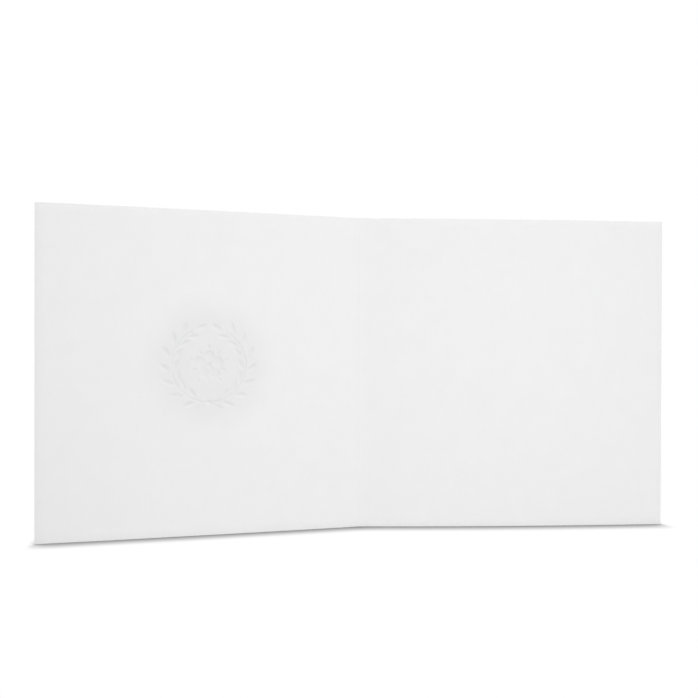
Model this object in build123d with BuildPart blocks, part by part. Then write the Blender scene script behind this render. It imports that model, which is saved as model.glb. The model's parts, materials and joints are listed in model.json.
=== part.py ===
"""A square folded greeting card, standing half open on its bottom edges.

The card is one sheet of white board, scored down the middle and folded once.
The front leaf is blind embossed: a wreath and a blossom stand out on its
outer face and are sunk by the same depth into its inner face.

Frame: the fold stands up along Z, the inside of the card faces -Y, and the
front leaf goes out to -X. The origin is under the middle of the card's box.
Lengths are in millimetres and angles in degrees.
"""
from build123d import *
from math import cos, radians, sin, sqrt
import os

# The sheet
leaf_width = 148.0          # from the fold to a free edge
card_height = 148.0
board = 0.4                 # thickness of 350 g/m2 board

# How far the card stands open, and the slight bow that each leaf has taken
leaf_angle = 6.87           # between a leaf and the line from edge to edge
front_bow_angle = 3.28      # how much the front leaf turns from the fold to its free edge
back_bow_angle = 6.02

# The scored fold: a bead inside and the score's groove outside
bead_width = 1.2
bead_height = 0.16          # from the corner where the inner faces would meet
groove_width = 1.0
groove_depth = 0.12

# The middle of the embossed emblem, on the front leaf
emblem_from_fold = 72.7
emblem_height = 77.5        # above the bottom edge
die_bite = 0.05             # reach of each form below the face that it is pressed into
form_gap = 0.3              # between neighbouring forms

# The wreath: a ring of stem, open at its top, with a spray of leaves up each side
wreath_radius = 17.0
stem_width = 0.9
stem_relief = 0.22
stem_gap_angle = 27.0       # from the wreath's top to each end of the stem
spray_pairs = 7
spray_start_angle = 16.0    # from the wreath's foot to the first pair of leaves
spray_step_angle = 20.0
spray_splay_angle = 35.0    # between a leaf and the stem
spray_gap = 0.9             # along a leaf, from the stem to the leaf's foot
spray_length = 6.8
spray_width = 2.7
spray_relief = 0.35
tail_length = 7.5           # the cut ends of the two sprays, crossed at the wreath's foot
tail_angle = 24.0
knot_radius = 1.2
knot_relief = 0.4

# The blossom inside it
petals = 5
petal_radius = 2.9
petal_offset = 3.9          # from the blossom's middle to a petal's
petal_relief = 0.4
eye_radius = 1.5
eye_relief = 0.55
sepal_length = 4.6
sepal_width = 1.7
sepal_relief = 0.3
seed_length = 2.4
seed_width = 1.3
seed_relief = 0.28

# The pressed part of the front leaf stays flat
panel_width = 2 * (wreath_radius + stem_width / 2 + form_gap + spray_length)
panel_start = emblem_from_fold - panel_width / 2
panel_end = emblem_from_fold + panel_width / 2


def leaf_place(side: int, along: float, depth: float) -> tuple[float, float, float]:
    """Where a point of a leaf lies in plan, and the leaf's heading there in radians.

    side is -1 for the front leaf and 1 for the back leaf, along is measured on
    the inner face from the fold, and depth goes from the inner face outwards.
    """
    bow, flat_width = (front_bow_angle, panel_width) if side < 0 else (back_bow_angle, 0)
    bow_radius = (leaf_width - flat_width) / radians(bow)
    before = min(along, panel_start)
    flat = min(along - before, flat_width)
    after = along - before - flat
    start = radians(leaf_angle + bow / 2)
    level = start - before / bow_radius
    heading = level - after / bow_radius
    x = bow_radius * (sin(start) - sin(heading)) + flat * cos(level) + depth * sin(heading)
    y = bow_radius * (cos(start) - cos(heading)) - flat * sin(level) + depth * cos(heading)
    return side * x, y, heading


def leaf_point(side: int, along: float, depth: float) -> tuple[float, float]:
    """A point of a leaf in plan."""
    x, y, _ = leaf_place(side, along, depth)
    return x, y


def leaf_arc(side: int, start: float, end: float, depth: float) -> ThreePointArc:
    """The bowed outline of one face of a leaf, between two distances from the fold."""
    return ThreePointArc(*(leaf_point(side, along, depth) for along in (start, (start + end) / 2, end)))


# Plan of the folded sheet, with the inside of the fold at its origin
with BuildSketch() as plan:
    with BuildLine():
        leaf_arc(-1, leaf_width, panel_end, 0)
        Line(leaf_point(-1, panel_end, 0), leaf_point(-1, panel_start, 0))
        leaf_arc(-1, panel_start, bead_width / 2, 0)
        ThreePointArc(leaf_point(-1, bead_width / 2, 0), (0, -bead_height), leaf_point(1, bead_width / 2, 0))
        leaf_arc(1, bead_width / 2, leaf_width, 0)
        Line(leaf_point(1, leaf_width, 0), leaf_point(1, leaf_width, board))
        leaf_arc(1, leaf_width, groove_width / 2, board)
        groove_ends = [leaf_point(side, groove_width / 2, board) for side in (1, -1)]
        ThreePointArc(groove_ends[0], (0, board - groove_depth), groove_ends[1])
        leaf_arc(-1, groove_width / 2, panel_start, board)
        Line(leaf_point(-1, panel_start, board), leaf_point(-1, panel_end, board))
        leaf_arc(-1, panel_end, leaf_width, board)
        Line(leaf_point(-1, leaf_width, board), leaf_point(-1, leaf_width, 0))
    make_face()

plan_middle = plan.sketch.bounding_box().center()


def dome(radius: float, relief: float) -> Part:
    """A round form, such as a petal, whose crown is part of a sphere."""
    crown_radius = (radius**2 + relief**2) / (2 * relief)
    foot = sqrt(crown_radius**2 - (crown_radius - relief - die_bite) ** 2)
    with BuildPart() as form:
        with BuildSketch(Plane.XZ):
            with BuildLine():
                RadiusArc((foot, -die_bite), (0, relief), -crown_radius)
                Polyline((0, relief), (0, -die_bite), (foot, -die_bite))
            make_face()
        revolve(axis=Axis.Z)
    return form.part


def pointed_leaf(length: float, width: float, relief: float) -> Part:
    """A leaf along X, whose crest from tip to tip is where two low cones meet."""
    outline_radius = (length**2 + width**2) / (4 * width)
    run = width / 2 / relief
    with BuildPart() as form:
        for side, mode in ((-1, Mode.ADD), (1, Mode.INTERSECT)):
            with Locations((0, side * (outline_radius - width / 2), -die_bite)):
                Cone(
                    outline_radius + run * die_bite,
                    0,
                    outline_radius / run + die_bite,
                    align=(Align.CENTER, Align.CENTER, Align.MIN),
                    mode=mode,
                )
    return form.part


# A stem is a ridge, drawn across it
stem_foot = stem_width / 2 * (1 + die_bite / stem_relief)
with BuildSketch() as stem_section:
    with BuildLine():
        Polyline((stem_foot, -die_bite), (0, stem_relief), (-stem_foot, -die_bite), close=True)
    make_face()

# The ring of stem, which starts on local X and turns towards local Y
with BuildPart() as ring:
    with BuildSketch(Plane.XZ):
        with Locations((wreath_radius, 0)):
            add(stem_section.sketch)
    revolve(axis=Axis.Z, revolution_arc=360 - 2 * stem_gap_angle)

# A straight cut end of a stem
with BuildPart() as tail:
    with BuildSketch(Plane.YZ):
        add(stem_section.sketch)
    extrude(amount=tail_length)

# A form's place on the die is its distance away from the fold and up from the
# emblem's middle, and its turn


def polar_place(radius: float, angle: float) -> Location:
    """A place at that radius and angle from the emblem's middle, pointing outwards."""
    return Location((radius * cos(radians(angle)), radius * sin(radians(angle))), angle)


def spray_places(angle: float, splay: float) -> list[Location]:
    """The two mirrored places of a leaf whose foot is on the stem at that angle."""
    turn = angle + 90 + splay
    reach = stem_width / 2 + spray_gap + spray_length / 2
    out = wreath_radius * cos(radians(angle)) + reach * cos(radians(turn))
    up = wreath_radius * sin(radians(angle)) + reach * sin(radians(turn))
    return [Location((out, up), turn), Location((-out, up), 180 - turn)]


sprays = spray_places(90 - stem_gap_angle, 0)
for pair in range(spray_pairs):
    for splay in (-spray_splay_angle, spray_splay_angle):
        sprays += spray_places(spray_start_angle + pair * spray_step_angle - 90, splay)

petal_step = 360 / petals
petal_angles = [90 + petal * petal_step for petal in range(petals)]
sepal_offset = petal_offset + form_gap + sepal_length / 2
seed_offset = petal_offset + petal_radius + form_gap + seed_length / 2
foot_place = Location((0, -wreath_radius))

emblem = [
    (ring.part, [Location((0, 0), 90 + stem_gap_angle)]),
    (tail.part, [foot_place * Location((0, 0), turn) for turn in (-tail_angle, 180 + tail_angle)]),
    (dome(knot_radius, knot_relief), [foot_place]),
    (pointed_leaf(spray_length, spray_width, spray_relief), sprays),
    (dome(petal_radius, petal_relief), [polar_place(petal_offset, angle) for angle in petal_angles]),
    (dome(eye_radius, eye_relief), [Location()]),
    (
        pointed_leaf(seed_length, seed_width, seed_relief),
        [polar_place(seed_offset, angle) for angle in petal_angles],
    ),
    (
        pointed_leaf(sepal_length, sepal_width, sepal_relief),
        [polar_place(sepal_offset, angle + petal_step / 2) for angle in petal_angles],
    ),
]

# The die, whose forms rise along Z
with BuildPart() as die:
    for form, places in emblem:
        with Locations(*places):
            add(form, clean=False)


def panel_plane(depth: float) -> Plane:
    """The plane of the pressed panel at that depth, facing outwards, with its X away from the fold."""
    x, y, heading = leaf_place(-1, emblem_from_fold, depth)
    return Plane(
        origin=(x - plan_middle.X, y - plan_middle.Y, emblem_height),
        x_dir=(-cos(heading), -sin(heading), 0),
        z_dir=(-sin(heading), cos(heading), 0),
    )


# The sheet, with the die's forms raised on its outer face and sunk into its inner one
with BuildPart() as card:
    with BuildSketch(Plane(origin=(-plan_middle.X, -plan_middle.Y, 0))):
        add(plan.sketch)
    extrude(amount=card_height)
    with Locations(panel_plane(board)):
        add(die.part, clean=False)
    with Locations(panel_plane(0)):
        add(die.part, clean=False, mode=Mode.SUBTRACT)

card.part.label = "card"

os.makedirs("parts", exist_ok=True)
export_step(card.part, "parts/card.step")
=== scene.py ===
"""A square folded greeting card of white board, standing half open on its bottom edges.

The sheet is drawn from the front leaf's free edge to the back leaf's, pressed
with an embossing die, and given the board's thickness. It stands in the place
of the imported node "card". Lengths are in metres and angles in degrees.
"""
import json
import logging
from dataclasses import dataclass, field
from enum import Enum
from math import atan2, cos, degrees, hypot, pi, radians, sin
from typing import Callable

import bpy
from mathutils import Matrix, Vector

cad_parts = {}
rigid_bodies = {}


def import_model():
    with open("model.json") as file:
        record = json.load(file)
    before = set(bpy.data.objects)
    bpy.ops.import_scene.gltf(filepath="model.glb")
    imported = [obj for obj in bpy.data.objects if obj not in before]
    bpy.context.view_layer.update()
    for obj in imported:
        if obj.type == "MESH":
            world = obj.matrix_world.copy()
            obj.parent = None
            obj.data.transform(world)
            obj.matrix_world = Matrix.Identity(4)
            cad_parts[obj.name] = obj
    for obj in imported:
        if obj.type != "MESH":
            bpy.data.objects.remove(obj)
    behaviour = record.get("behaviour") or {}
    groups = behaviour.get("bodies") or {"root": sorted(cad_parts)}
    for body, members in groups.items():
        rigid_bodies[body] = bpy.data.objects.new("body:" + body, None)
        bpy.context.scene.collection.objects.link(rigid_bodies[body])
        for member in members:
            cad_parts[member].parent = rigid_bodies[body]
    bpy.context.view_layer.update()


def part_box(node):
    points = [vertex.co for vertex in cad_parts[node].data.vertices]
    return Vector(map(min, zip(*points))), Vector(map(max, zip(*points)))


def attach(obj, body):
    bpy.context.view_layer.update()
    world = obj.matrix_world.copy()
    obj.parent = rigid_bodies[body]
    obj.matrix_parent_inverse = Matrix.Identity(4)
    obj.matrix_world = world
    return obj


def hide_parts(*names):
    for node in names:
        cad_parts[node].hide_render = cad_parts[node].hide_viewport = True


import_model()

CARD_NODE = "card"
MM = 0.001
LOG = logging.getLogger("greeting_card")
Pair = tuple[float, float]
Triple = tuple[float, float, float]


class Side(Enum):
    """The two leaves, by the side of the fold that they go out to."""

    FRONT = -1
    BACK = 1


class Layer(Enum):
    """The mesh attributes that the finish of the board reads."""

    # How far the die has sunk the board, for its smoothness, and painted shade of the emboss's
    # sunk strokes and of a halo round them.
    PRESSED = "pressed"


def only(piece: bpy.types.Object) -> bpy.types.Object:
    """Selects one object and makes it the active one.

    Args:
        piece: The object that the next operators act on.

    Returns:
        The same object.
    """
    bpy.ops.object.select_all(action="DESELECT")
    piece.select_set(True)
    bpy.context.view_layer.objects.active = piece
    return piece


def apply_modifier(piece: bpy.types.Object, kind: str, **settings: object) -> None:
    """Adds a modifier to an object and applies it.

    Args:
        piece: The object to change.
        kind: The modifier's type, such as "SOLIDIFY".
        **settings: The modifier's own settings.
    """
    modifier = piece.modifiers.new(kind.title(), kind)
    for name, value in settings.items():
        setattr(modifier, name, value)
    only(piece)
    bpy.ops.object.modifier_apply(modifier=modifier.name)


def drop(piece: bpy.types.Object) -> None:
    """Deletes a helper object and its mesh."""
    bpy.data.meshes.remove(piece.data)


def pick(piece: bpy.types.Object, mode: str, chosen: Callable[[Vector], bool]) -> None:
    """Opens an object for editing with some of its vertices or faces selected.

    Args:
        piece: The object to edit.
        mode: The select mode, "VERT" or "FACE".
        chosen: Tells whether a vertex's place or a face's centre is one of them.
    """
    only(piece)
    bpy.ops.object.mode_set(mode="EDIT")
    bpy.ops.mesh.select_mode(type=mode)
    bpy.ops.mesh.select_all(action="DESELECT")
    bpy.ops.object.mode_set(mode="OBJECT")
    if mode == "FACE":
        for polygon in piece.data.polygons:
            polygon.select = chosen(polygon.center)
    else:
        for vertex in piece.data.vertices:
            vertex.select = chosen(vertex.co)
    bpy.ops.object.mode_set(mode="EDIT")


class NodeTree:
    """A short way to add nodes to a material or a world."""

    def __init__(self, owner: bpy.types.ID) -> None:
        """Empties the owner's node tree.

        Args:
            owner: The material or world.
        """
        owner.use_nodes = True
        self.tree = owner.node_tree
        self.tree.nodes.clear()

    def add(
        self, kind: str, inputs: dict[str | int, object] | None = None, **settings: object
    ) -> bpy.types.Node:
        """Adds a node.

        Args:
            kind: The node's type, without "ShaderNode".
            inputs: For each input, its value or the output that feeds it.
            **settings: The node's own settings.

        Returns:
            The node.
        """
        node = self.tree.nodes.new("ShaderNode" + kind)
        for name, value in settings.items():
            setattr(node, name, value)
        for name, value in (inputs or {}).items():
            socket = node.inputs[name]
            if isinstance(value, bpy.types.NodeSocket):
                self.tree.links.new(value, socket)
            else:
                socket.default_value = value
        return node

    def math(self, operation: str, *terms: object) -> bpy.types.NodeSocket:
        """Works out a value from one or two others, such as by "MULTIPLY"."""
        return self.add("Math", dict(enumerate(terms)), operation=operation).outputs["Value"]

    def spread(
        self, source: bpy.types.NodeSocket, ends: Pair, values: Pair, blend: str = "LINEAR"
    ) -> bpy.types.NodeSocket:
        """Spreads the part of a pattern between two ends over two values.

        Args:
            source: The pattern.
            ends: The pattern's two ends.
            values: What they become.
            blend: How it goes from one to the other.

        Returns:
            The new pattern.
        """
        ranges = dict(zip(("From Min", "From Max", "To Min", "To Max"), ends + values))
        node = self.add("MapRange", {"Value": source} | ranges, interpolation_type=blend)
        return node.outputs["Result"]

    def seen(self) -> bpy.types.NodeSocket:
        """Tells what the camera sees from all other light.

        Returns:
            1 for what it sees, also in a gloss or through glass, and 0 for the rest.
        """
        path = self.add("LightPath").outputs
        direct = self.math("MAXIMUM", path["Is Camera Ray"], path["Is Glossy Ray"])
        return self.math("MAXIMUM", direct, path["Is Transmission Ray"])

    def matt(
        self,
        white: Triple,
        shade: bpy.types.NodeSocket,
        relief: bpy.types.NodeSocket,
        depth: float,
        roughness: float | bpy.types.NodeSocket,
        specular: float,
    ) -> None:
        """Ends a material with a matt surface.

        Args:
            white: Its colour at its lightest.
            shade: What that colour is multiplied by.
            relief: The pattern of its fine relief.
            depth: How deep the relief is.
            roughness: Its roughness, as a number or a pattern.
            specular: How strongly it shines.
        """
        colour = self.add("VectorMath", {0: white, "Scale": shade}, operation="SCALE")
        bump = self.add("Bump", {"Height": relief, "Distance": depth})
        surface = self.add(
            "BsdfPrincipled",
            {
                "Base Color": colour.outputs["Vector"],
                "Roughness": roughness,
                "Specular IOR Level": specular,
                "Normal": bump.outputs["Normal"],
            },
        )
        self.add("OutputMaterial", {"Surface": surface.outputs["BSDF"]})


@dataclass(frozen=True)
class Grain:
    """A cloudy pattern on a piece's own coordinates.

    Its shade spreads the span, a part of the pattern, between 1 less the contrast and 1.
    """

    size: Triple
    detail: float
    roughness: float
    distortion: float = 0.0
    span: Pair = (0.0, 1.0)
    contrast: float = 0.0

    def pattern(self, nodes: NodeTree) -> bpy.types.NodeSocket:
        """Adds the pattern.

        Args:
            nodes: The material's nodes.

        Returns:
            The pattern.
        """
        place = nodes.add("TexCoord").outputs["Object"]
        scale = tuple(1 / size for size in self.size)
        lay = nodes.add("Mapping", {"Vector": place, "Scale": scale})
        looks = {"Detail": self.detail, "Roughness": self.roughness, "Distortion": self.distortion}
        noise = nodes.add("TexNoise", {"Vector": lay.outputs["Vector"], "Scale": 1.0} | looks)
        return noise.outputs["Fac"]

    def shade(self, nodes: NodeTree, pattern: bpy.types.NodeSocket) -> bpy.types.NodeSocket:
        """Makes the pattern a shade, which is 1 where the board is lightest."""
        return nodes.spread(pattern, self.span, (1.0 - self.contrast, 1.0))


@dataclass(frozen=True)
class BoardFinish:
    """Uncoated white board, with a fine tooth, short fibres and a faint cloudiness.

    The attribute "pressed" makes the board smoother where the die has pressed it. It also darkens
    its colour as painted shade: fully where it is 1, in the sunk strokes, and less in a halo round
    them.
    """

    name: str = "white_board"
    white: Triple = (0.87, 0.87, 0.87)
    # Painted shade: what the colour is multiplied by where the attribute is 1.
    painted_press_shade: float = 0.93
    roughness: float = 0.72
    pressed_roughness: float = 0.58
    specular: float = 0.25
    clouds: Grain = Grain(
        size=(9.0 * MM, 9.0 * MM, 9.0 * MM),
        detail=3.0,
        roughness=0.55,
        span=(0.3, 0.7),
        contrast=0.012,
    )
    fibres: Grain = Grain(
        size=(0.5 * MM, 0.5 * MM, 1.6 * MM),
        detail=2.0,
        roughness=0.6,
        distortion=1.2,
        span=(0.35, 0.65),
        contrast=0.014,
    )
    tooth: Grain = Grain(size=(0.3 * MM, 0.3 * MM, 0.3 * MM), detail=4.0, roughness=0.6)
    tooth_relief: float = 0.014 * MM

    def material(self) -> bpy.types.Material:
        """Makes the material.

        Returns:
            The finish of the sheet's two faces.
        """
        material = bpy.data.materials.new(self.name)
        nodes = NodeTree(material)
        clouds = self.clouds.pattern(nodes)
        fibres = self.fibres.pattern(nodes)
        tooth = self.tooth.pattern(nodes)
        pressed = nodes.add("Attribute", attribute_name=Layer.PRESSED.value).outputs["Fac"]
        grain = nodes.math(
            "MULTIPLY", self.clouds.shade(nodes, clouds), self.fibres.shade(nodes, fibres)
        )
        # Painted shade of the emboss: darker in the sunk strokes and in the halo round them.
        painted_shade = nodes.spread(pressed, (0.0, 1.0), (1.0, self.painted_press_shade))
        nodes.matt(
            white=self.white,
            shade=nodes.math("MULTIPLY", grain, painted_shade),
            relief=nodes.math("ADD", tooth, fibres),
            depth=self.tooth_relief,
            roughness=nodes.spread(pressed, (0.0, 1.0), (self.roughness, self.pressed_roughness)),
            specular=self.specular,
        )
        return material


@dataclass(frozen=True)
class CutEdgeFinish:
    """The board's cut edges, where its plies show as faint lines."""

    name: str = "board_cut_edge"
    white: Triple = (0.84, 0.84, 0.835)
    plies: Grain = Grain(
        size=(4.0 * MM, 0.12 * MM, 4.0 * MM),
        detail=3.0,
        roughness=0.5,
        span=(0.35, 0.65),
        contrast=0.07,
    )
    roughness: float = 0.85
    specular: float = 0.15
    nap_relief: float = 0.02 * MM

    def material(self) -> bpy.types.Material:
        """Makes the material.

        Returns:
            The finish of the sheet's rim.
        """
        material = bpy.data.materials.new(self.name)
        nodes = NodeTree(material)
        plies = self.plies.pattern(nodes)
        nodes.matt(
            white=self.white,
            shade=self.plies.shade(nodes, plies),
            relief=plies,
            depth=self.nap_relief,
            roughness=self.roughness,
            specular=self.specular,
        )
        return material


@dataclass(frozen=True)
class FloorFinish:
    """A white floor, darker where the card is close to it.

    The camera sees white, less the shadow of contact, which ends softly at the
    card's free edges. Other rays meet a pale floor.
    """

    name: str = "studio_floor"
    pale: tuple[float, float, float, float] = (0.86, 0.86, 0.86, 1.0)
    shadow_reach: float = 13.5 * MM
    shadow_samples: int = 32
    shadow_power: float = 1.9
    shadow_end: float = 146.5 * MM
    shadow_fade: float = 4.0 * MM

    def material(self) -> bpy.types.Material:
        """Makes the material.

        Returns:
            The finish of the floor.
        """
        material = bpy.data.materials.new(self.name)
        nodes = NodeTree(material)
        near = nodes.add(
            "AmbientOcclusion", {"Distance": self.shadow_reach}, samples=self.shadow_samples
        )
        spot = nodes.add("SeparateXYZ", {"Vector": nodes.add("TexCoord").outputs["Object"]})
        power = nodes.spread(
            nodes.math("ABSOLUTE", spot.outputs["X"]),
            (self.shadow_end, self.shadow_end + self.shadow_fade),
            (self.shadow_power, 0.0),
            blend="SMOOTHSTEP",
        )
        white = nodes.add("Emission", {"Strength": nodes.math("POWER", near.outputs["AO"], power)})
        pale = nodes.add("BsdfDiffuse", {"Color": self.pale})
        floor = nodes.add(
            "MixShader",
            {0: nodes.seen(), 1: pale.outputs["BSDF"], 2: white.outputs["Emission"]},
        )
        nodes.add("OutputMaterial", {"Surface": floor.outputs["Shader"]})
        return material


@dataclass
class CardPlan:
    """The plan of the folded sheet, seen from above, from the inside of the fold.

    Each leaf is bowed, apart from the pressed panel of the front leaf, which is flat.
    """

    leaf_width: float = 148 * MM
    height: float = 148 * MM
    board: float = 0.4 * MM
    leaf_angle: float = 6.87
    front_bow: float = 3.28
    back_bow: float = 6.02
    panel_middle: float = 72.7 * MM
    panel_width: float = 49.1 * MM
    bead_width: float = 1.2 * MM
    bead_height: float = 0.16 * MM
    groove_width: float = 1.0 * MM
    groove_depth: float = 0.07 * MM

    @property
    def panel_start(self) -> float:
        """How far the panel's nearer edge is from the fold."""
        return self.panel_middle - self.panel_width / 2

    @property
    def panel_end(self) -> float:
        """How far the panel's farther edge is from the fold."""
        return self.panel_middle + self.panel_width / 2

    def bow_radius(self, side: Side) -> float:
        """Finds the radius of a leaf's bow.

        Args:
            side: The leaf.

        Returns:
            The radius.
        """
        if side is Side.FRONT:
            return (self.leaf_width - self.panel_width) / radians(self.front_bow)
        return self.leaf_width / radians(self.back_bow)

    def place(self, side: Side, along: float, depth: float) -> tuple[Vector, float]:
        """Finds a point of a leaf in plan.

        Args:
            side: The leaf.
            along: The distance from the fold, on the inner face.
            depth: The distance outwards from the inner face.

        Returns:
            The point, at height zero, and the leaf's heading there in radians.
        """
        bow, flat_width = self.back_bow, 0.0
        if side is Side.FRONT:
            bow, flat_width = self.front_bow, self.panel_width
        radius = self.bow_radius(side)
        before = min(along, self.panel_start)
        flat = min(along - before, flat_width)
        after = along - before - flat
        start = radians(self.leaf_angle + bow / 2)
        level = start - before / radius
        heading = level - after / radius
        x = radius * (sin(start) - sin(heading)) + flat * cos(level) + depth * sin(heading)
        y = radius * (cos(start) - cos(heading)) - flat * sin(level) + depth * cos(heading)
        return Vector((side.value * x, y, 0.0)), heading

    def point(self, side: Side, along: float) -> Vector:
        """A point of a leaf's inner face in plan."""
        return self.place(side, along, 0.0)[0]


@dataclass
class EmbossingDie:
    """The die that presses a wreath and a blossom into the front leaf.

    Its forms rise along local Z. Local X points away from the fold and Y up.
    """

    wreath_radius: float = 17.0 * MM
    stem_width: float = 0.9 * MM
    stem_relief: float = 0.3 * MM
    stem_gap: float = 27.0
    spray_pairs: int = 7
    spray_start: float = 16.0
    spray_step: float = 20.0
    spray_splay: float = 35.0
    spray_gap: float = 0.9 * MM
    spray_length: float = 6.8 * MM
    spray_width: float = 2.7 * MM
    spray_relief: float = 0.5 * MM
    tail_length: float = 7.5 * MM
    tail_angle: float = 24.0
    knot_radius: float = 1.2 * MM
    knot_relief: float = 0.5 * MM
    petals: int = 5
    petal_radius: float = 2.9 * MM
    petal_offset: float = 3.9 * MM
    petal_relief: float = 0.5 * MM
    eye_radius: float = 1.5 * MM
    eye_relief: float = 0.75 * MM
    sepal_length: float = 4.6 * MM
    sepal_width: float = 1.7 * MM
    sepal_relief: float = 0.35 * MM
    seed_length: float = 2.4 * MM
    seed_width: float = 1.3 * MM
    seed_relief: float = 0.35 * MM
    form_gap: float = 0.3 * MM
    bite: float = 0.05 * MM
    bed_size: float = 80 * MM
    dome_segments: int = 48
    dome_rings: int = 24
    cone_sides: int = 128
    ring_segments: int = 240
    ring_sides: int = 16
    forms: list[bpy.types.Object] = field(default_factory=list)

    def dome(self, radii: Pair, relief: float) -> bpy.types.Object:
        """Makes a rounded form.

        Args:
            radii: Its half length and half width.
            relief: Its height above the die's bed.

        Returns:
            The form, at the origin.
        """
        bpy.ops.object.select_all(action="DESELECT")
        bpy.ops.mesh.primitive_uv_sphere_add(
            segments=self.dome_segments, ring_count=self.dome_rings, radius=1.0
        )
        form = bpy.context.object
        form.scale = (radii[0], radii[1], relief)
        bpy.ops.object.transform_apply(location=False, rotation=False, scale=True)
        return form

    def pointed_leaf(self, length: float, width: float, relief: float) -> bpy.types.Object:
        """Makes a leaf whose crest from tip to tip is where two low cones meet.

        Args:
            length: The leaf's length, along local X.
            width: Its greatest width.
            relief: Its height above the die's bed.

        Returns:
            The form, at the origin.
        """
        outline_radius = (length**2 + width**2) / (4 * width)
        run = width / 2 / relief
        rise = outline_radius / run + self.bite
        cones = []
        for side in (-1, 1):
            bpy.ops.object.select_all(action="DESELECT")
            bpy.ops.mesh.primitive_cone_add(
                vertices=self.cone_sides,
                radius1=outline_radius + run * self.bite,
                radius2=0.0,
                depth=rise,
                location=(0.0, side * (outline_radius - width / 2), rise / 2 - self.bite),
            )
            bpy.ops.object.transform_apply(location=True, rotation=False, scale=False)
            cones.append(bpy.context.object)
        apply_modifier(cones[0], "BOOLEAN", operation="INTERSECT", object=cones[1])
        drop(cones[1])
        return cones[0]

    def ring(self) -> bpy.types.Object:
        """Makes the ring of stem, with its gap at the top.

        Returns:
            The form, at the origin.
        """
        bpy.ops.object.select_all(action="DESELECT")
        bpy.ops.mesh.primitive_torus_add(
            major_radius=self.wreath_radius,
            minor_radius=self.stem_width / 2,
            major_segments=self.ring_segments,
            minor_segments=self.ring_sides,
        )
        form = bpy.context.object
        form.scale = (1.0, 1.0, self.stem_relief / (self.stem_width / 2))
        bpy.ops.object.transform_apply(location=False, rotation=False, scale=True)
        pick(form, "VERT", lambda place: abs(degrees(atan2(place.x, place.y))) < self.stem_gap)
        bpy.ops.mesh.delete(type="VERT")
        bpy.ops.object.mode_set(mode="OBJECT")
        return form

    def stamp(self, form: bpy.types.Object, places: list[Triple]) -> None:
        """Puts a copy of a form at each of its places.

        Args:
            form: The form, at the origin. It is used up.
            places: For each copy, its distance out and up from the emblem's middle and its turn.
        """
        for out, up, turn in places:
            copy = form.copy()
            copy.data = form.data.copy()
            bpy.context.collection.objects.link(copy)
            turned = Matrix.Rotation(radians(turn), 4, "Z")
            copy.matrix_world = Matrix.Translation((out, up, 0.0)) @ turned
            self.forms.append(copy)
        drop(form)

    def around(self, offset: float, first: float) -> list[Triple]:
        """Places forms round the blossom at that offset, from that first angle, pointing out."""
        angles = [first + 360 / self.petals * number for number in range(self.petals)]
        return [(offset * cos(radians(a)), offset * sin(radians(a)), a) for a in angles]

    def spray(self, angle: float, splay: float) -> list[Triple]:
        """The two mirrored places of a leaf whose foot is on the stem.

        Args:
            angle: Where on the stem, from local X.
            splay: How far the leaf turns from the stem.

        Returns:
            The two places.
        """
        turn = angle + 90 + splay
        reach = self.stem_width / 2 + self.spray_gap + self.spray_length / 2
        out = self.wreath_radius * cos(radians(angle)) + reach * cos(radians(turn))
        up = self.wreath_radius * sin(radians(angle)) + reach * sin(radians(turn))
        return [(out, up, turn), (-out, up, 180 - turn)]

    def stamp_wreath(self) -> None:
        """Puts the wreath's leaves, its ring of stem, its cut ends and its knot on the die."""
        sprays = self.spray(90 - self.stem_gap, 0.0)
        for pair in range(self.spray_pairs):
            for splay in (-self.spray_splay, self.spray_splay):
                sprays += self.spray(self.spray_start + pair * self.spray_step - 90, splay)
        leaf = self.pointed_leaf(self.spray_length, self.spray_width, self.spray_relief)
        self.stamp(leaf, sprays)
        self.stamp(self.ring(), [(0.0, 0.0, 0.0)])

        half_tail = self.tail_length / 2
        out = half_tail * cos(radians(self.tail_angle))
        up = -self.wreath_radius - half_tail * sin(radians(self.tail_angle))
        tail = self.dome((half_tail, self.stem_width / 2), self.stem_relief)
        self.stamp(tail, [(side * out, up, -side * self.tail_angle) for side in (-1, 1)])
        knot = self.dome((self.knot_radius, self.knot_radius), self.knot_relief)
        self.stamp(knot, [(0.0, -self.wreath_radius, 0.0)])

    def stamp_blossom(self) -> None:
        """Puts the blossom's petals, its eye, its sepals and its seeds on the die."""
        petal = self.dome((self.petal_radius, self.petal_radius), self.petal_relief)
        self.stamp(petal, self.around(self.petal_offset, 90.0))
        eye = self.dome((self.eye_radius, self.eye_radius), self.eye_relief)
        self.stamp(eye, [(0.0, 0.0, 0.0)])

        sepal_offset = self.petal_offset + self.form_gap + self.sepal_length / 2
        sepal = self.pointed_leaf(self.sepal_length, self.sepal_width, self.sepal_relief)
        self.stamp(sepal, self.around(sepal_offset, 90 + 180 / self.petals))
        petal_tip = self.petal_offset + self.petal_radius
        seed = self.pointed_leaf(self.seed_length, self.seed_width, self.seed_relief)
        self.stamp(seed, self.around(petal_tip + self.form_gap + self.seed_length / 2, 90.0))

    def build(self) -> bpy.types.Object:
        """Makes the whole die.

        Returns:
            The die, with its bed and all its forms in one mesh.
        """
        self.stamp_wreath()
        self.stamp_blossom()
        bpy.ops.object.select_all(action="DESELECT")
        bpy.ops.mesh.primitive_plane_add(size=self.bed_size)
        die = bpy.context.object
        die.name = "embossing_die"
        for form in self.forms:
            form.select_set(True)
        bpy.ops.object.join()
        LOG.info("die: %d forms, %d faces", len(self.forms), len(die.data.polygons))
        return die


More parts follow.
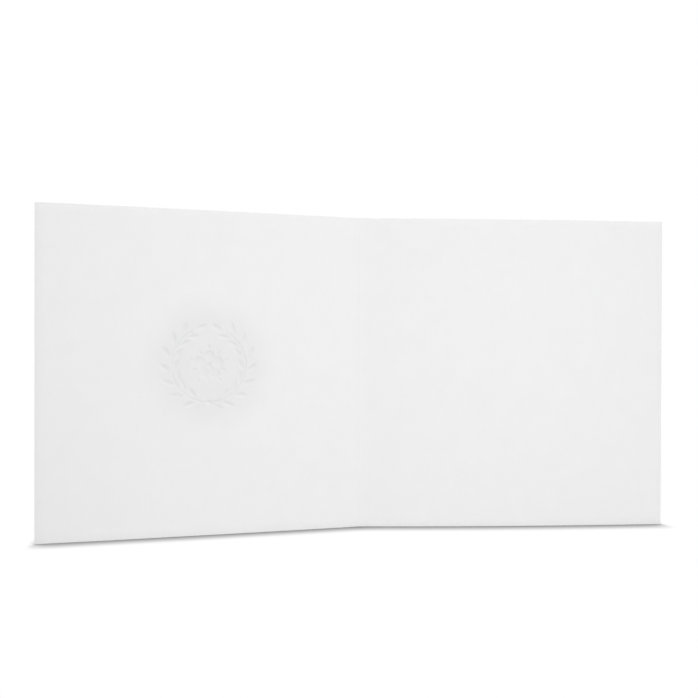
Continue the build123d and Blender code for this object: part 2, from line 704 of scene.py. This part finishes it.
@dataclass
class CardSheet:
    """The card itself: one sheet of board, folded, bowed and embossed.

    Round the emblem the board is dished, and its colour is darkened in a halo as painted shade of
    the dish. Both are at their full out to floor_share of their radius. The attribute that the
    board's finish reads is 1 where the die sinks the board by full_press or more, at most the
    halo's share in the rest of the halo, and weaker on the outer face. Where it is higher, the
    board is smoother and painted shade makes its colour darker.
    """

    plan: CardPlan
    die: EmbossingDie
    rows: int = 36
    bow_steps: int = 12
    panel_steps: int = 12
    back_steps: int = 36
    bead_steps: int = 10
    emblem_height: float = 77.5 * MM
    fine_reach: float = 26.0 * MM
    fine_cuts: int = 14
    lift: float = 3.0 * MM
    weld: float = 0.004 * MM
    soften_share: float = 0.5
    soften_rounds: int = 2
    dish_depth: float = 0.2 * MM
    dish_radius: float = 28.5 * MM
    halo_radius: float = 35.0 * MM
    # The halo's share: painted shade of the dish, and a little smoothness.
    halo_painted_shade: float = 0.84
    floor_share: float = 0.46
    full_press: float = 0.3 * MM
    # How much of the smoothness and painted shade the outer face keeps.
    outer_shade_share: float = 0.4
    edge_round: float = 0.05 * MM
    edge_steps: int = 2
    sharp_angle: float = 70.0
    smooth_angle: float = 40.0

    def turn(self, centre: Vector, start: Vector, end: Vector, steps: int) -> None:
        """Sweeps the selected column of the sheet round an upright axis.

        Args:
            centre: A point of the axis.
            start: Where the column is.
            end: Where it goes to.
            steps: How many columns of faces it makes.
        """
        first, last = start - centre, end - centre
        angle = atan2(first.x * last.y - first.y * last.x, first.x * last.x + first.y * last.y)
        bpy.ops.mesh.spin(steps=steps, angle=-angle, center=centre, axis=(0.0, 0.0, 1.0))

    def draw(self) -> bpy.types.Object:
        """Draws the inner face of the sheet, from the front leaf's free edge to the back leaf's.

        Returns:
            The sheet, with no thickness yet.
        """
        plan = self.plan
        front_edge = plan.point(Side.FRONT, plan.leaf_width)
        panel_end = plan.point(Side.FRONT, plan.panel_end)
        panel_start = plan.point(Side.FRONT, plan.panel_start)
        bead_front = plan.point(Side.FRONT, plan.bead_width / 2)
        bead_back = plan.point(Side.BACK, plan.bead_width / 2)
        back_edge = plan.point(Side.BACK, plan.leaf_width)

        bpy.ops.object.select_all(action="DESELECT")
        bpy.ops.mesh.primitive_plane_add(
            size=plan.height,
            location=(front_edge.x - plan.height / 2, front_edge.y, plan.height / 2),
            rotation=(pi / 2, 0.0, 0.0),
        )
        sheet = bpy.context.object
        sheet.name = "card_sheet"
        bpy.ops.object.transform_apply(location=True, rotation=True, scale=True)
        pick(sheet, "VERT", lambda place: place.x < front_edge.x - plan.height / 2)
        bpy.ops.mesh.delete(type="VERT")
        bpy.ops.mesh.select_all(action="SELECT")
        bpy.ops.mesh.subdivide(number_cuts=self.rows - 1)

        bow_centre = plan.place(Side.FRONT, plan.leaf_width, plan.bow_radius(Side.FRONT))[0]
        self.turn(bow_centre, front_edge, panel_end, self.bow_steps)
        step = (panel_start - panel_end) / self.panel_steps
        for _ in range(self.panel_steps):
            bpy.ops.mesh.extrude_region_move(TRANSFORM_OT_translate={"value": step})
        bow_centre = plan.place(Side.FRONT, 0.0, plan.bow_radius(Side.FRONT))[0]
        self.turn(bow_centre, panel_start, bead_front, self.bow_steps)
        self.turn(self.bead_centre(bead_front, bead_back), bead_front, bead_back, self.bead_steps)
        bow_centre = plan.place(Side.BACK, 0.0, plan.bow_radius(Side.BACK))[0]
        self.turn(bow_centre, bead_back, back_edge, self.back_steps)
        bpy.ops.mesh.select_all(action="SELECT")
        bpy.ops.mesh.remove_doubles(threshold=self.weld)
        bpy.ops.mesh.normals_make_consistent(inside=False)
        bpy.ops.object.mode_set(mode="OBJECT")
        if sheet.data.polygons[0].normal.y > 0:
            bpy.ops.object.mode_set(mode="EDIT")
            bpy.ops.mesh.flip_normals()
            bpy.ops.object.mode_set(mode="OBJECT")
        return sheet

    def bead_centre(self, front: Vector, back: Vector) -> Vector:
        """The centre of the arc that the fold's bead follows.

        Args:
            front: The bead's edge on the front leaf.
            back: Its edge on the back leaf.

        Returns:
            The centre, behind the fold.
        """
        chord = back - front
        middle = (front + back) / 2
        crest = Vector((0.0, -self.plan.bead_height, 0.0))
        rise = (crest - middle).length
        radius = ((chord.length / 2) ** 2 + rise**2) / (2 * rise)
        outwards = Vector((-chord.y, chord.x, 0.0)).normalized()
        return crest + outwards * radius

    def panel_matrix(self) -> Matrix:
        """Finds the frame of the pressed panel, with its origin at the emblem's middle.

        Returns:
            The frame: X away from the fold, Y up and Z out of the card's outer face.
        """
        origin, heading = self.plan.place(Side.FRONT, self.plan.panel_middle, 0.0)
        away = Vector((-cos(heading), -sin(heading), 0.0))
        outwards = Vector((-sin(heading), cos(heading), 0.0))
        up = Vector((0.0, 0.0, 1.0))
        origin.z = self.emblem_height
        return Matrix.Translation(origin) @ Matrix((away, up, outwards)).transposed().to_4x4()

    def is_on_panel(self, spot: Vector) -> bool:
        """Tells whether a point, in the panel's own frame, lies where the die presses."""
        within = abs(spot.x) < self.plan.panel_width / 2 and abs(spot.y) < self.fine_reach
        return within and abs(spot.z) < self.lift

    def press(self, sheet: bpy.types.Object) -> None:
        """Presses the die into the front leaf, and dishes the leaf round it.

        The panel's mesh is made fine and lifted clear, and then falls straight onto
        the die. The last ring of it stays down, and joins it to the coarse mesh.

        Args:
            sheet: The sheet as drawn.
        """
        place = self.panel_matrix()
        sheet.data.transform(place.inverted())
        pick(sheet, "FACE", self.is_on_panel)
        bpy.ops.mesh.subdivide(number_cuts=self.fine_cuts)
        bpy.ops.mesh.select_less()
        bpy.ops.object.vertex_group_assign_new()
        bpy.ops.transform.translate(value=(0.0, 0.0, self.lift))
        bpy.ops.object.mode_set(mode="OBJECT")
        fine = sheet.vertex_groups.active
        fine.name = "fine"
        die = self.die.build()
        apply_modifier(
            sheet,
            "SHRINKWRAP",
            target=die,
            wrap_method="PROJECT",
            use_project_z=True,
            use_positive_direction=False,
            use_negative_direction=True,
            vertex_group=fine.name,
        )
        drop(die)
        apply_modifier(
            sheet,
            "SMOOTH",
            factor=self.soften_share,
            iterations=self.soften_rounds,
            vertex_group=fine.name,
        )
        self.dish(sheet)
        sheet.data.transform(place)
        LOG.info("pressed sheet: %d faces", len(sheet.data.polygons))

    def fade(self, distance: float, radius: float) -> float:
        """Falls smoothly with distance, from 1 about the emblem's middle to 0 at the radius."""
        slope = (min(distance / radius, 1.0) - self.floor_share) / (1 - self.floor_share)
        return (1 + cos(pi * max(slope, 0.0))) / 2

    def dish(self, sheet: bpy.types.Object) -> None:
        """Sets the attribute for the board's smoothness and painted shade, in what the die has
        pressed and in a halo round it, and dishes the board softly round it.

        Args:
            sheet: The pressed sheet, in the panel's own frame.
        """
        pressed = sheet.data.attributes.new(Layer.PRESSED.value, "FLOAT", "POINT")
        for vertex, press_and_shade in zip(sheet.data.vertices, pressed.data):
            distance = hypot(vertex.co.x, vertex.co.y)
            # Painted shade in a halo round the emblem, standing for the shade of the dish.
            halo = self.halo_painted_shade * self.fade(distance, self.halo_radius)
            sunk = 0.0
            if distance < self.dish_radius:
                sunk = min(max(vertex.co.z, 0.0) / self.full_press, 1.0)
            press_and_shade.value = sunk + (1 - sunk) * halo
            vertex.co.z += self.dish_depth * self.fade(distance, self.dish_radius)

    def thicken(self, sheet: bpy.types.Object) -> None:
        """Gives the sheet the board's thickness, scores its fold and rounds its cut edges.

        Args:
            sheet: The pressed sheet.
        """
        plan = self.plan
        inner = len(sheet.data.vertices)
        for finish in (BoardFinish(), CutEdgeFinish()):
            sheet.data.materials.append(finish.material())
        apply_modifier(
            sheet,
            "SOLIDIFY",
            thickness=plan.board,
            offset=-1.0,
            use_even_offset=True,
            material_offset_rim=1,
        )
        # The outer face keeps less of the smoothness and painted shade.
        for press_and_shade in sheet.data.attributes[Layer.PRESSED.value].data[inner:]:
            press_and_shade.value *= self.outer_shade_share
        half_column = plan.bead_width / self.bead_steps / 2
        core = plan.board / 2 - plan.bead_height
        pick(sheet, "VERT", lambda spot: abs(spot.x) < half_column and spot.y > core)
        bpy.ops.transform.translate(
            value=(0.0, -plan.groove_depth, 0.0),
            use_proportional_edit=True,
            use_proportional_connected=True,
            proportional_edit_falloff="SMOOTH",
            proportional_size=plan.groove_width / 2,
        )
        bpy.ops.mesh.select_mode(type="EDGE")
        bpy.ops.mesh.select_all(action="DESELECT")
        bpy.ops.mesh.edges_select_sharp(sharpness=radians(self.sharp_angle))
        bpy.ops.mesh.bevel(offset=self.edge_round, segments=self.edge_steps)
        bpy.ops.object.mode_set(mode="OBJECT")

    def settle(self, sheet: bpy.types.Object) -> None:
        """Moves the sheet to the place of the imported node.

        Args:
            sheet: The sheet, still with the fold at its origin.
        """
        low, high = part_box(CARD_NODE)
        xs = [vertex.co.x for vertex in sheet.data.vertices]
        ys = [vertex.co.y for vertex in sheet.data.vertices]
        across = (low.x + high.x - min(xs) - max(xs)) / 2
        back = (low.y + high.y - min(ys) - max(ys)) / 2
        sheet.data.transform(Matrix.Translation((across, back, low.z)))

    def build(self) -> bpy.types.Object:
        """Makes the finished card.

        Returns:
            The card's own piece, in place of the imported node.
        """
        sheet = self.draw()
        self.press(sheet)
        self.thicken(sheet)
        self.settle(sheet)
        only(sheet)
        bpy.ops.object.shade_smooth_by_angle(angle=radians(self.smooth_angle))
        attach(sheet, "root")
        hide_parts(CARD_NODE)
        return sheet


@dataclass(frozen=True)
class Lamp:
    """A square area lamp."""

    name: str
    place: Triple
    target: Triple
    size: float
    power: float

    def build(self) -> None:
        """Puts the lamp in the scene."""
        bpy.ops.object.select_all(action="DESELECT")
        aim = Vector(self.target) - Vector(self.place)
        turn = aim.to_track_quat("-Z", "Y")
        bpy.ops.object.light_add(type="AREA", location=self.place, rotation=turn.to_euler())
        lamp = bpy.context.object
        lamp.name = self.name
        lamp.data.size = self.size
        lamp.data.energy = self.power
        lamp.visible_camera = False


@dataclass
class Studio:
    """A white studio, and the camera at the photograph's viewpoint."""

    sky_colour: tuple[float, float, float, float] = (1.0, 1.0, 1.0, 1.0)
    fill: float = 0.598
    lamps: tuple[Lamp, ...] = (
        Lamp(
            name="top_lamp",
            place=(0.12, -0.6, 0.95),
            target=(0.0, 0.0, 0.09),
            size=0.35,
            power=3.01,
        ),
        Lamp(
            name="front_lamp",
            place=(0.02, -0.38, 0.10),
            target=(0.0, 0.0, 0.09),
            size=0.12,
            power=0.252,
        ),
        Lamp(
            name="back_lamp",
            place=(0.45, 0.62, 0.25),
            target=(0.0, 0.0, 0.08),
            size=0.2,
            power=1.98,
        ),
    )
    floor_size: float = 16.0
    floor_shift: float = 3.0
    camera_place: Triple = (-83.11 * MM, -419.57 * MM, 82.12 * MM)
    camera_azimuth: float = 10.274
    camera_dip: float = 0.4245
    camera_roll: float = 0.1848
    lens: float = 46.844
    shift_y: float = 0.0191
    clip_start: float = 10 * MM

    def build_floor(self) -> None:
        """Lays the floor under the card."""
        bpy.ops.object.select_all(action="DESELECT")
        place = (0.0, self.floor_shift, 0.0)
        bpy.ops.mesh.primitive_plane_add(size=self.floor_size, location=place)
        floor = bpy.context.object
        bpy.ops.object.transform_apply(location=True, rotation=False, scale=False)
        floor.name = "floor"
        floor.data.materials.append(FloorFinish().material())

    def build_world(self) -> None:
        """Makes the background white, and its light soft."""
        world = bpy.data.worlds.new("white_studio")
        bpy.context.scene.world = world
        nodes = NodeTree(world)
        strength = nodes.spread(nodes.seen(), (0.0, 1.0), (self.fill, 1.0))
        sky = nodes.add("Background", {"Color": self.sky_colour, "Strength": strength})
        nodes.add("OutputWorld", {"Surface": sky.outputs["Background"]})

    def build_camera(self) -> None:
        """Puts the camera where the photograph was taken from."""
        azimuth = radians(self.camera_azimuth)
        dip = radians(self.camera_dip)
        aim = Vector((sin(azimuth) * cos(dip), cos(azimuth) * cos(dip), -sin(dip)))
        roll = Matrix.Rotation(radians(self.camera_roll), 3, "Z")
        turn = aim.to_track_quat("-Z", "Y").to_matrix() @ roll
        bpy.ops.object.camera_add(location=self.camera_place, rotation=turn.to_euler())
        camera = bpy.context.object
        camera.data.lens = self.lens
        camera.data.shift_y = self.shift_y
        camera.data.clip_start = self.clip_start
        bpy.context.scene.camera = camera

    def build(self) -> None:
        """Makes the studio."""
        self.build_floor()
        self.build_world()
        for lamp in self.lamps:
            lamp.build()
        self.build_camera()
        bpy.context.scene.view_settings.view_transform = "Standard"


def main() -> None:
    """Builds the card and its studio."""
    logging.basicConfig(level=logging.INFO, format="%(message)s")
    card = CardSheet(CardPlan(), EmbossingDie()).build()
    LOG.info("card: %d vertices", len(card.data.vertices))
    Studio().build()
    LOG.info("studio: floor, world, lamps and camera")


if __name__ == "__main__":
    main()
